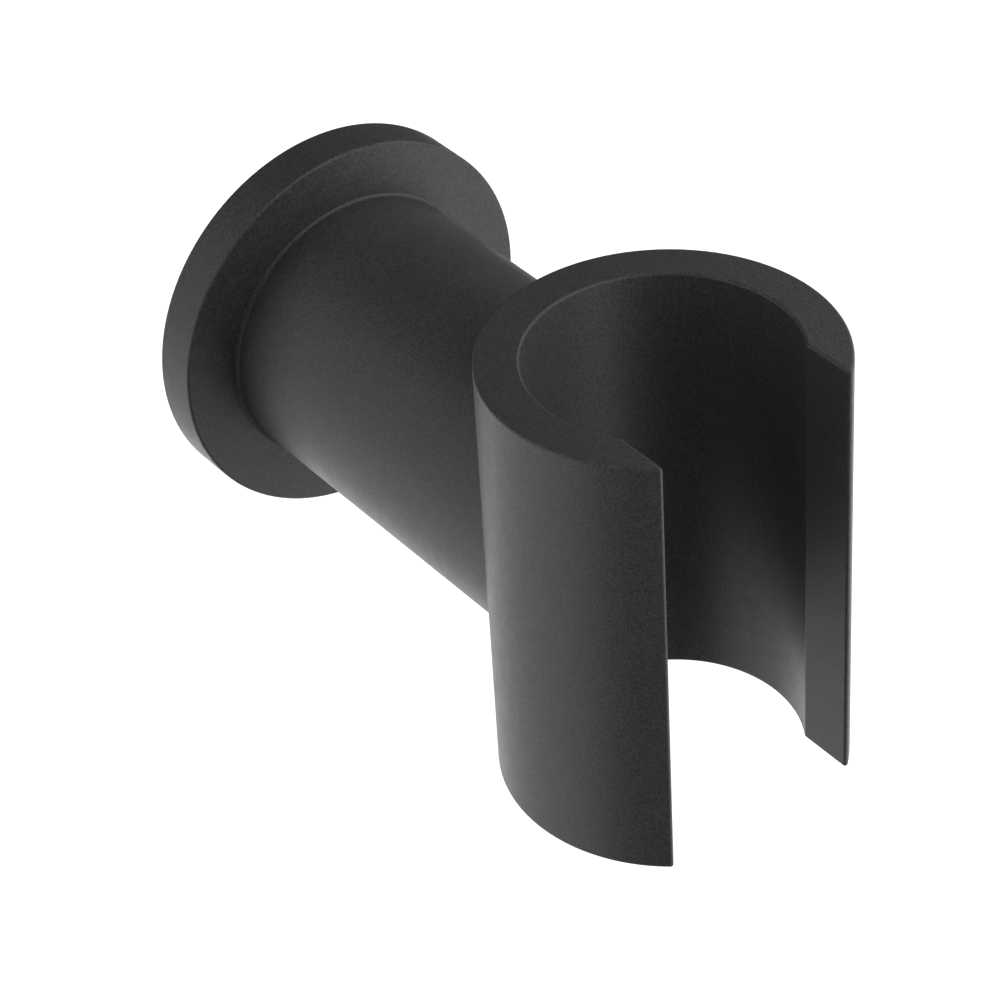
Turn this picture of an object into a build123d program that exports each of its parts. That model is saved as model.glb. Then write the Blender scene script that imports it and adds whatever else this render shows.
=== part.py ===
from build123d import *
import math
import os

# Wall holder for a hand shower, in millimetres. The wall is the plane Y = 0, the arm runs out
# along -Y from the origin, Z is up, and the open front of the cradle faces away from the wall.

# Cradle: an upright tube, open to the front along its whole height
cradle_reach = 47.9
cradle_height = 40.3
cradle_bore_diameter = 22.1
cradle_wall = 3.65
slot_closure = 1.95

# Arm: a round bar between the rosette and the cradle, with a small cove round its foot
arm_diameter = 24.9
foot_cove = 0.3
foot_edge = 0.05

# Rosette: a turned cup whose rim stands on the wall
rosette_diameter = 35.0
rosette_rim_wall = 1.5
rosette_face_thickness = 1.2

# Small rounds under the coating
edge_round = 0.25
root_round = 0.3

# Wall plate and its gasket, hidden in the rosette
gasket_thickness = 0.6
plate_thickness = 2.2
wall_screw_hole_diameter = 4.2
wall_screw_head_diameter = 7.6

# Mounting post that carries the arm
post_diameter = 12.0
post_length = 13.0
post_end_chamfer = 0.6
groove_depth = 1.2
groove_floor_width = 1.0

# Countersunk screw between the plate and the post
post_screw_diameter = 4.0
post_screw_head_diameter = 7.5
post_screw_length = 10.0
post_screw_socket_width = 2.5
post_screw_socket_depth = 1.4

# Grub screw in the arm's underside, whose cone draws the arm to the wall
grub_diameter = 5.0
grub_offset = 5.5
grub_recess = 1.2
grub_tip_diameter = 1.0
grub_socket_width = 2.5
grub_socket_depth = 2.2

# Chamfers and angles of the holes
post_bore_chamfer = 0.4
grub_mouth_chamfer = 0.3
countersink_angle = 90.0
drill_point_angle = 118.0

# Clearances
plate_rim_clearance = 0.5
plate_face_clearance = 0.1
post_clearance = 0.05
post_hole_clearance = 0.25
post_end_clearance = 0.7
thread_clearance = 0.05
countersink_clearance = 0.05
screw_head_sink = 0.1
screw_end_clearance = 1.0
groove_lead = 0.2
groove_flank_clearance = 0.05

# Radii that follow from the sizes above
cradle_bore_radius = cradle_bore_diameter / 2
cradle_radius = cradle_bore_radius + cradle_wall
slot_half = cradle_bore_radius - slot_closure
arm_radius = arm_diameter / 2
rosette_radius = rosette_diameter / 2
recess_radius = rosette_radius - rosette_rim_wall
foot_radius = arm_radius + foot_cove
plate_radius = recess_radius - plate_rim_clearance
wall_screw_hole_radius = wall_screw_hole_diameter / 2
wall_screw_head_radius = wall_screw_head_diameter / 2
post_radius = post_diameter / 2
post_bore_radius = post_radius + post_clearance
rosette_hole_radius = post_radius + post_hole_clearance
post_screw_radius = post_screw_diameter / 2
post_screw_hole_radius = post_screw_radius + thread_clearance
post_screw_head_radius = post_screw_head_diameter / 2
grub_hole_radius = grub_diameter / 2
grub_radius = grub_hole_radius - thread_clearance
grub_tip_radius = grub_tip_diameter / 2

# Distances from the wall, along the arm
plate_back = gasket_thickness
plate_front = plate_back + plate_thickness
recess_floor = plate_front + plate_face_clearance
rosette_front = recess_floor + rosette_face_thickness
arm_foot = rosette_front
cove_start = arm_foot + foot_edge
cove_end = cove_start + foot_cove
post_end = plate_front + post_length
post_bore_end = post_end + post_end_clearance
post_screw_head = plate_back + screw_head_sink
post_screw_end = post_screw_head + post_screw_length
grub_reach = arm_foot + grub_offset
groove_reach = grub_reach - groove_lead

# The two wall screws stand above and below the arm's axis, midway between post and plate rim.
wall_screw_offset = (post_radius + plate_radius) / 2
wall_screw_places = [(0, wall_screw_offset), (0, -wall_screw_offset)]

# A drilled hole ends in a cone, this high for each millimetre of its radius.
drill_point_slope = 1 / math.tan(math.radians(drill_point_angle / 2))

# Turned pieces are drawn here as (radius, distance from the wall) and turned about the Y axis.
turning_plane = Plane(origin=(0, 0, 0), x_dir=(1, 0, 0), z_dir=(0, 0, -1))

os.makedirs("parts", exist_ok=True)


# Holder body: the arm and the cradle in one piece
cradle_foot = Plane(origin=(0, -cradle_reach, -cradle_height / 2))
outer_corner_y = -math.sqrt(cradle_radius**2 - slot_half**2)
inner_corner_y = -math.sqrt(cradle_bore_radius**2 - slot_half**2)

with BuildPart() as holder_body:
    # The bar runs to the cradle's axis, and the bore then takes its end away.
    with BuildSketch(turning_plane):
        with BuildLine():
            Polyline((0, arm_foot), (foot_radius, arm_foot), (foot_radius, cove_start))
            CenterArc((foot_radius, cove_end), foot_cove, start_angle=-90, arc_size=-90)
            Polyline(
                (arm_radius, cove_end), (arm_radius, cradle_reach), (0, cradle_reach), (0, arm_foot)
            )
        make_face()
    revolve(axis=Axis.Y)
    with BuildSketch(cradle_foot):
        Circle(cradle_bore_radius)
    extrude(amount=cradle_height, mode=Mode.SUBTRACT)

    # C-shaped wall of the cradle, with parallel faces at the slot
    with BuildSketch(cradle_foot):
        with BuildLine():
            outer_wall = ThreePointArc(
                (slot_half, outer_corner_y), (0, cradle_radius), (-slot_half, outer_corner_y)
            )
            inner_wall = ThreePointArc(
                (slot_half, inner_corner_y), (0, cradle_bore_radius), (-slot_half, inner_corner_y)
            )
            Line(outer_wall @ 0, inner_wall @ 0)
            Line(outer_wall @ 1, inner_wall @ 1)
        make_face()
    extrude(amount=cradle_height)

    # Rounded root where the bar meets the tube, then the rims and the four edges of the slot
    root_edge = holder_body.edges().filter_by(GeomType.BSPLINE)
    fillet(root_edge, root_round)
    levels = holder_body.edges().group_by(Axis.Z)
    slot_edges = holder_body.edges().filter_by(Axis.Z)
    fillet(levels[0] + levels[-1] + slot_edges, edge_round)

    # Blind bore for the post, drilled from the foot
    with BuildSketch(turning_plane):
        with BuildLine():
            Polyline(
                (0, arm_foot),
                (post_bore_radius + post_bore_chamfer, arm_foot),
                (post_bore_radius, arm_foot + post_bore_chamfer),
                (post_bore_radius, post_bore_end),
                (0, post_bore_end + post_bore_radius * drill_point_slope),
                close=True,
            )
        make_face()
    revolve(axis=Axis.Y, mode=Mode.SUBTRACT)

    # Tapped hole for the grub screw, from the underside into the post's bore
    with Locations(Plane(origin=(0, -grub_reach, -arm_radius), z_dir=(0, 0, -1))):
        Hole(grub_hole_radius, depth=arm_radius)
    grub_mouth = holder_body.edges().sort_by_distance((0, -grub_reach, -arm_radius))[0]
    chamfer(grub_mouth, grub_mouth_chamfer)

holder_body.part.label = "holder_body"
export_step(holder_body.part, "parts/holder_body.step")


# Rosette: cup with a hole for the post, which the arm's foot covers
with BuildPart() as rosette:
    with BuildSketch(turning_plane):
        with BuildLine():
            Polyline(
                (rosette_hole_radius, recess_floor),
                (recess_radius, recess_floor),
                (recess_radius, 0),
                (rosette_radius, 0),
                (rosette_radius, rosette_front),
                (rosette_hole_radius, rosette_front),
                close=True,
            )
        make_face()
    revolve(axis=Axis.Y)
    front_edge = rosette.edges().group_by(Axis.Y)[0].sort_by(SortBy.RADIUS)[-1]
    fillet(front_edge, edge_round)

rosette.part.label = "rosette"
export_step(rosette.part, "parts/rosette.step")


# Wall plate: disc with two countersunk wall screw holes and a countersunk hole behind the post
with BuildPart() as wall_plate:
    with BuildSketch(Plane.XZ.offset(plate_back)):
        Circle(plate_radius)
    extrude(amount=plate_thickness)
    with Locations(Plane.XZ.offset(plate_front)):
        with Locations(*wall_screw_places):
            CounterSinkHole(
                wall_screw_hole_radius, wall_screw_head_radius, counter_sink_angle=countersink_angle
            )
    with Locations(-Plane.XZ.offset(plate_back)):
        CounterSinkHole(
            post_screw_hole_radius,
            post_screw_head_radius + screw_head_sink + countersink_clearance,
            counter_sink_angle=countersink_angle,
        )

wall_plate.part.label = "wall_plate"
export_step(wall_plate.part, "parts/wall_plate.step")


# Wall gasket: thin disc between the plate and the wall
with BuildPart() as wall_gasket:
    with BuildSketch(Plane.XZ):
        Circle(plate_radius)
        with Locations(*wall_screw_places):
            Circle(wall_screw_hole_radius, mode=Mode.SUBTRACT)
    extrude(amount=gasket_thickness)

wall_gasket.part.label = "wall_gasket"
export_step(wall_gasket.part, "parts/wall_gasket.step")


# Mounting post: turned pin with a V groove for the grub screw and a tapped hole in its back
groove_floor_radius = post_radius - groove_depth
groove_floor_half = groove_floor_width / 2
groove_mouth_half = groove_floor_half + groove_depth
tapped_end = post_screw_end + screw_end_clearance

with BuildPart() as mounting_post:
    with BuildSketch(turning_plane):
        with BuildLine():
            Polyline(
                (post_screw_hole_radius, plate_front),
                (post_radius, plate_front),
                (post_radius, groove_reach - groove_mouth_half),
                (groove_floor_radius, groove_reach - groove_floor_half),
                (groove_floor_radius, groove_reach + groove_floor_half),
                (post_radius, groove_reach + groove_mouth_half),
                (post_radius, post_end - post_end_chamfer),
                (post_radius - post_end_chamfer, post_end),
                (0, post_end),
                (0, tapped_end + post_screw_hole_radius * drill_point_slope),
                (post_screw_hole_radius, tapped_end),
                close=True,
            )
        make_face()
    revolve(axis=Axis.Y)

mounting_post.part.label = "mounting_post"
export_step(mounting_post.part, "parts/mounting_post.step")


# Post screw: countersunk head sunk in the plate's back, with a hexagon socket
post_screw_neck = post_screw_head + post_screw_head_radius - post_screw_radius

with BuildPart() as post_screw:
    with BuildSketch(turning_plane):
        with BuildLine():
            Polyline(
                (0, post_screw_head),
                (post_screw_head_radius, post_screw_head),
                (post_screw_radius, post_screw_neck),
                (post_screw_radius, post_screw_end),
                (0, post_screw_end),
                close=True,
            )
        make_face()
    revolve(axis=Axis.Y)
    with BuildSketch(Plane.XZ.offset(post_screw_head)):
        RegularPolygon(post_screw_socket_width / 2, 6, major_radius=False)
    extrude(amount=post_screw_socket_depth, mode=Mode.SUBTRACT)

post_screw.part.label = "post_screw"
export_step(post_screw.part, "parts/post_screw.step")


# Grub screw: cone point towards the post, hexagon socket towards the underside. Its heights are
# measured down from the arm's axis.
grub_tip = groove_floor_radius + groove_lead + groove_flank_clearance
grub_shoulder = grub_tip + grub_radius - grub_tip_radius
grub_head = arm_radius - grub_recess
grub_axis = Axis((0, -grub_reach, 0), (0, 0, 1))

with BuildPart() as grub_screw:
    with BuildSketch(Plane.XZ.offset(grub_reach)):
        with BuildLine():
            Polyline(
                (0, -grub_tip),
                (grub_tip_radius, -grub_tip),
                (grub_radius, -grub_shoulder),
                (grub_radius, -grub_head),
                (0, -grub_head),
                close=True,
            )
        make_face()
    revolve(axis=grub_axis)
    with BuildSketch(Plane(origin=(0, -grub_reach, -grub_head))):
        RegularPolygon(grub_socket_width / 2, 6, major_radius=False)
    extrude(amount=grub_socket_depth, mode=Mode.SUBTRACT)

grub_screw.part.label = "grub_screw"
export_step(grub_screw.part, "parts/grub_screw.step")
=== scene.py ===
import math

import bpy
from mathutils import Matrix, Vector

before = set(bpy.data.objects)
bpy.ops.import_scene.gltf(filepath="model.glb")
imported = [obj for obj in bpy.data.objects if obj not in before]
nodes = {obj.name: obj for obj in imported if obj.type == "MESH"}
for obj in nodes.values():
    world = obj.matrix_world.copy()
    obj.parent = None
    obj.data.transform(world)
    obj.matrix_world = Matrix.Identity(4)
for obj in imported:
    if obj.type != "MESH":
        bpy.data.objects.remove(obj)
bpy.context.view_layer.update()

# Lengths are in metres. Azimuths run from the front (-Y) towards +X, elevations up from the
# horizon, both in degrees.

# Camera: place, and its right and up directions in the row frame
CAMERA_AT = Vector((-0.1361384, -0.2201364, 0.1758174))
CAMERA_RIGHT = Vector((0.7962854, -0.6027789, -0.0508642))
CAMERA_UP = Vector((0.4008537, 0.4628208, 0.7906410))
CAMERA_LENS = 125.8545
SENSOR = 36.0
CLIP_NEAR, CLIP_FAR = 0.01, 20

# Powder coat: darkest and lightest colour and its roughness
COAT_DARK, COAT_LIGHT = 0.031, 0.067
COAT_ROUGHNESS = 0.46, 0.52

# Its grains, mottling and orange peel: noise features per metre, shares in the colour, heights
GRAIN_SCALE, MOTTLING_SCALE, PEEL_SCALE = 5500, 900, 700
GRAIN_SHARE, MOTTLING_SHARE = 0.88, 0.12
GRAIN_HEIGHT, PEEL_HEIGHT = 0.000009, 0.000006
PEEL_STRENGTH = 0.5

# Studio: the middle of the part, and a floor far enough below it to show no shadow at the front
MIDDLE = Vector((0.0, -0.03, 0.0))
FLOOR_Z = -0.6
FLOOR_RADIUS = 3.0
FLOOR_POINTS = 96
FLOOR_GREY = 0.85
FLOOR_LIFT = 0.45

# Dark curved cards about the part: radius, azimuths and elevations they span, and grey
CARDS = {
    "card_front_left": (0.55, (-80, 6), (-88, 53), 0.03),
    "card_back_right": (0.56, (122, 212), (-18, 88), 0.03),
    "card_top": (0.57, (50, 370), (60, 88), 0.05),
}
CARD_COLUMNS, CARD_ROWS = 24, 16

# Lamps that face the part: azimuth, elevation, distance, width, height and radiance
LAMPS = {
    "key": (7.5, 12.5, 0.42, 0.435, 1.34, 0.75),
    "back_low": (180, -36.5, 0.37, 0.136, 0.88, 0.83),
    "close_right": (110, 41, 0.11, 0.04, 0.04, 0.8),
}


def make_camera():
    data = bpy.data.cameras.new("camera")
    data.lens = CAMERA_LENS
    data.sensor_width = SENSOR
    data.sensor_fit = "HORIZONTAL"
    data.clip_start, data.clip_end = CLIP_NEAR, CLIP_FAR
    camera = bpy.data.objects.new("camera", data)
    back = CAMERA_RIGHT.cross(CAMERA_UP)
    turn = Matrix((CAMERA_RIGHT, CAMERA_UP, back)).transposed().to_4x4()
    camera.matrix_world = Matrix.Translation(CAMERA_AT) @ turn
    bpy.context.scene.collection.objects.link(camera)
    bpy.context.scene.camera = camera


def set_inputs(node, values):
    """Sets sockets by name or number, each to a plain value or a link from another node."""
    for name, value in values.items():
        if isinstance(value, bpy.types.NodeSocket):
            node.id_data.links.new(value, node.inputs[name])
        else:
            node.inputs[name].default_value = value


def add_math(tree, operation, first, second):
    node = tree.nodes.new("ShaderNodeMath")
    node.operation = operation
    set_inputs(node, {0: first, 1: second})
    return node.outputs[0]


def start_material(name, values):
    """A material with its shader and the place on the object."""
    material = bpy.data.materials.new(name)
    material.use_nodes = True
    tree = material.node_tree
    shader = tree.nodes["Principled BSDF"]
    set_inputs(shader, values)
    place = tree.nodes.new("ShaderNodeTexCoord").outputs["Object"]
    return material, tree, shader, place


def add_noise(tree, place, scale, detail=2.0, stretch=(1, 1, 1)):
    """Noise about 0.5, with features of about 1/scale metres, drawn out along small stretch values."""
    mapping = tree.nodes.new("ShaderNodeMapping")
    set_inputs(mapping, {"Vector": place, "Scale": stretch})
    node = tree.nodes.new("ShaderNodeTexNoise")
    set_inputs(node, {"Vector": mapping.outputs[0], "Scale": scale, "Detail": detail, "Roughness": 0.55})
    return node.outputs["Fac"]


def add_range(tree, value, low, high, edge=0.3):
    """Spreads noise between edge and 1 - edge over low to high."""
    node = tree.nodes.new("ShaderNodeMapRange")
    set_inputs(node, {"Value": value, "From Min": edge, "From Max": 1 - edge, "To Min": low, "To Max": high})
    return node.outputs[0]


def add_colours(tree, value, low, high, edge=0.3):
    """Colours from low to high as the noise runs from edge to 1 - edge."""
    node = tree.nodes.new("ShaderNodeValToRGB")
    tree.links.new(value, node.inputs[0])
    first, last = node.color_ramp.elements
    first.position, last.position = edge, 1 - edge
    first.color, last.color = (*low, 1), (*high, 1)
    return node.outputs["Color"]


def add_bump(tree, height, distance, strength=1.0, normal=None):
    node = tree.nodes.new("ShaderNodeBump")
    set_inputs(node, {"Height": height, "Distance": distance, "Strength": strength})
    if normal:
        tree.links.new(normal, node.inputs["Normal"])
    return node.outputs[0]


def coating():
    """Matt black powder coat: fine grains, faint mottling and a soft orange peel."""
    material, tree, shader, place = start_material("matt_black_coating", {})
    grains = add_noise(tree, place, GRAIN_SCALE, 1.0)
    mottling = add_noise(tree, place, MOTTLING_SCALE, 3.0)
    grain_part = add_math(tree, "MULTIPLY", grains, GRAIN_SHARE)
    mottled_part = add_math(tree, "MULTIPLY", mottling, MOTTLING_SHARE)
    both = add_math(tree, "ADD", grain_part, mottled_part)
    peel = add_bump(tree, add_noise(tree, place, PEEL_SCALE, 1.0), PEEL_HEIGHT, PEEL_STRENGTH)
    set_inputs(shader, {
        "Base Color": add_colours(tree, both, (COAT_DARK,) * 3, (COAT_LIGHT,) * 3, 0.36),
        "Roughness": add_range(tree, mottling, *COAT_ROUGHNESS),
        "Normal": add_bump(tree, grains, GRAIN_HEIGHT, normal=peel),
    })
    return material


def brushed_steel():
    """Stamped plate with brush lines along X."""
    material, tree, shader, place = start_material("plate_steel", {"Metallic": 1.0})
    lines = add_noise(tree, place, 9000, 2.0, (0.02, 1, 1))
    clouds = add_noise(tree, place, 220, 3.0)
    set_inputs(shader, {
        "Base Color": add_colours(tree, clouds, (0.55, 0.55, 0.56), (0.64, 0.64, 0.65)),
        "Roughness": add_range(tree, lines, 0.28, 0.44),
        "Normal": add_bump(tree, lines, 0.000004),
    })
    return material


def turned_brass():
    """Turned post with fine tool rings across its axis."""
    material, tree, shader, place = start_material("post_brass", {"Metallic": 1.0})
    rings = add_noise(tree, place, 7000, 2.0, (0.03, 1, 0.03))
    clouds = add_noise(tree, place, 260, 3.0)
    set_inputs(shader, {
        "Base Color": add_colours(tree, clouds, (0.66, 0.52, 0.28), (0.76, 0.61, 0.35)),
        "Roughness": add_range(tree, rings, 0.24, 0.38),
        "Normal": add_bump(tree, rings, 0.000004),
    })
    return material


def screw_steel():
    """Dull steel of the screws, a little cloudy."""
    material, tree, shader, place = start_material("screw_steel", {"Metallic": 1.0})
    clouds = add_noise(tree, place, 1500, 4.0)
    set_inputs(shader, {
        "Base Color": add_colours(tree, clouds, (0.38, 0.38, 0.39), (0.5, 0.5, 0.51)),
        "Roughness": add_range(tree, clouds, 0.34, 0.48),
        "Normal": add_bump(tree, clouds, 0.000006),
    })
    return material


def gasket_rubber():
    """Moulded rubber with a fine texture."""
    material, tree, shader, place = start_material("gasket_rubber", {})
    grains = add_noise(tree, place, 3500, 3.0)
    set_inputs(shader, {
        "Base Color": add_colours(tree, grains, (0.022, 0.022, 0.022), (0.04, 0.04, 0.04)),
        "Roughness": add_range(tree, grains, 0.72, 0.88),
        "Normal": add_bump(tree, grains, 0.00004),
    })
    return material


def flat_finish(name, grey):
    """Plain matt finish of the studio's floor and cards."""
    material = bpy.data.materials.new(name)
    material.use_nodes = True
    shader = material.node_tree.nodes["Principled BSDF"]
    set_inputs(shader, {"Base Color": (grey, grey, grey, 1), "Roughness": 1.0, "Specular IOR Level": 0.0})
    return material, shader


def direction(azimuth, elevation):
    a, e = math.radians(azimuth), math.radians(elevation)
    return Vector((math.sin(a) * math.cos(e), -math.cos(a) * math.cos(e), math.sin(e)))


def make_stage_piece(name, points, faces, material):
    mesh = bpy.data.meshes.new(name)
    mesh.from_pydata(points, [], faces)
    mesh.materials.append(material)
    piece = bpy.data.objects.new(name, mesh)
    bpy.context.scene.collection.objects.link(piece)
    return piece


def make_card(name, radius, azimuths, elevations, grey):
    """A dark card that shades the part from one side. The camera doesn't see it."""
    across = [azimuths[0] + (azimuths[1] - azimuths[0]) * i / CARD_COLUMNS for i in range(CARD_COLUMNS + 1)]
    upward = [elevations[0] + (elevations[1] - elevations[0]) * j / CARD_ROWS for j in range(CARD_ROWS + 1)]
    points = [MIDDLE + radius * direction(azimuth, elevation) for elevation in upward for azimuth in across]
    row = len(across)
    corners = [j * row + i for j in range(CARD_ROWS) for i in range(CARD_COLUMNS)]
    faces = [(k, k + 1, k + row + 1, k + row) for k in corners]
    material, _ = flat_finish(name, grey)
    make_stage_piece(name, points, faces, material).visible_camera = False


def make_lamp(name, azimuth, elevation, distance, width, height, radiance):
    data = bpy.data.lights.new(name, "AREA")
    data.shape = "RECTANGLE"
    data.size, data.size_y = width, height
    data.energy = radiance * math.pi * width * height
    light = bpy.data.objects.new(name, data)
    place = MIDDLE + direction(azimuth, elevation) * distance
    turn = (MIDDLE - place).to_track_quat("-Z", "Y").to_matrix().to_4x4()
    light.matrix_world = Matrix.Translation(place) @ turn
    bpy.context.scene.collection.objects.link(light)


def make_floor():
    """White to the camera, and in gloss and glass, while it still takes the part's shadow."""
    angles = [2 * math.pi * i / FLOOR_POINTS for i in range(FLOOR_POINTS)]
    rim = [(FLOOR_RADIUS * math.cos(a), FLOOR_RADIUS * math.sin(a), FLOOR_Z) for a in angles]
    material, shader = flat_finish("floor_white", FLOOR_GREY)
    tree = material.node_tree
    rays = tree.nodes.new("ShaderNodeLightPath").outputs
    seen = add_math(tree, "MAXIMUM", rays["Is Camera Ray"], rays["Is Glossy Ray"])
    seen = add_math(tree, "MAXIMUM", seen, rays["Is Transmission Ray"])
    lift = add_math(tree, "MULTIPLY", seen, FLOOR_LIFT)
    set_inputs(shader, {"Emission Color": (1, 1, 1, 1), "Emission Strength": lift})
    make_stage_piece("floor", rim, [tuple(range(FLOOR_POINTS))], material)


make_camera()

coat, steel = coating(), screw_steel()
finishes = {
    "holder_body": coat,
    "rosette": coat,
    "wall_plate": brushed_steel(),
    "wall_gasket": gasket_rubber(),
    "mounting_post": turned_brass(),
    "post_screw": steel,
    "grub_screw": steel,
}
for name, material in finishes.items():
    nodes[name].data.materials.clear()
    nodes[name].data.materials.append(material)

world = bpy.data.worlds.new("studio")
bpy.context.scene.world = world
world.use_nodes = True
world.node_tree.nodes["Background"].inputs["Color"].default_value = (1, 1, 1, 1)

make_floor()
for name, card in CARDS.items():
    make_card(name, *card)
for name, lamp in LAMPS.items():
    make_lamp(name, *lamp)

bpy.context.scene.view_settings.view_transform = "Standard"
